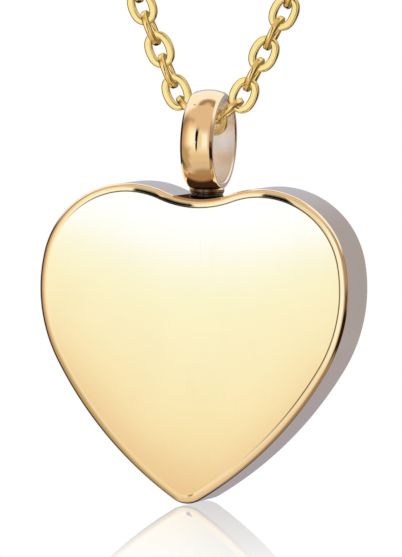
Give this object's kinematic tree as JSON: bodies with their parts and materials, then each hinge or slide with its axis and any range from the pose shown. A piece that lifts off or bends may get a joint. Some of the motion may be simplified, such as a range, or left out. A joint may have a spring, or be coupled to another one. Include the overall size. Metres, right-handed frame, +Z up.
{
  "type": "keepsake urn pendant on a chain",
  "caption": "Hollow polished heart pendant closed by a screw-in ring bail with a seal, hanging free on a fine cable chain with a ring clasp.",
  "frame": {"origin": "middle of the clasp at the nape, at the top of the loop, where the necklace hangs", "axes": "+Z up, against the way the pendant hangs; -Y out of the heart's front face; +X to the right seen from the front"},
  "size_m": [0.1106, 0.0064, 0.2083],
  "materials": {
    "polished_gold": "mirror polished gold plating on steel",
    "black_rubber": "smooth, slightly glossy black",
    "chain_gold": "bright polished gold plating"
  },
  "bodies": {
    "chain": {"chain_links": "chain_gold", "chain_back": "chain_gold", "clasp": "chain_gold"},
    "bail": {"bail_plug": "polished_gold", "seal_ring": "black_rubber"},
    "heart": {"heart_shell": "polished_gold"}
  },
  "joints": [
    {"name": "pendant_swing", "type": "hinge", "parent": "chain", "child": "bail", "pos_m": [0, 0, -0.18176], "axis": [1, 0, 0], "range_deg": [-80, 80]},
    {"name": "plug_unscrew", "type": "slide", "parent": "bail", "child": "heart", "axis": [0, 0, -1], "range_m": [0, 0.006]}
  ]
}
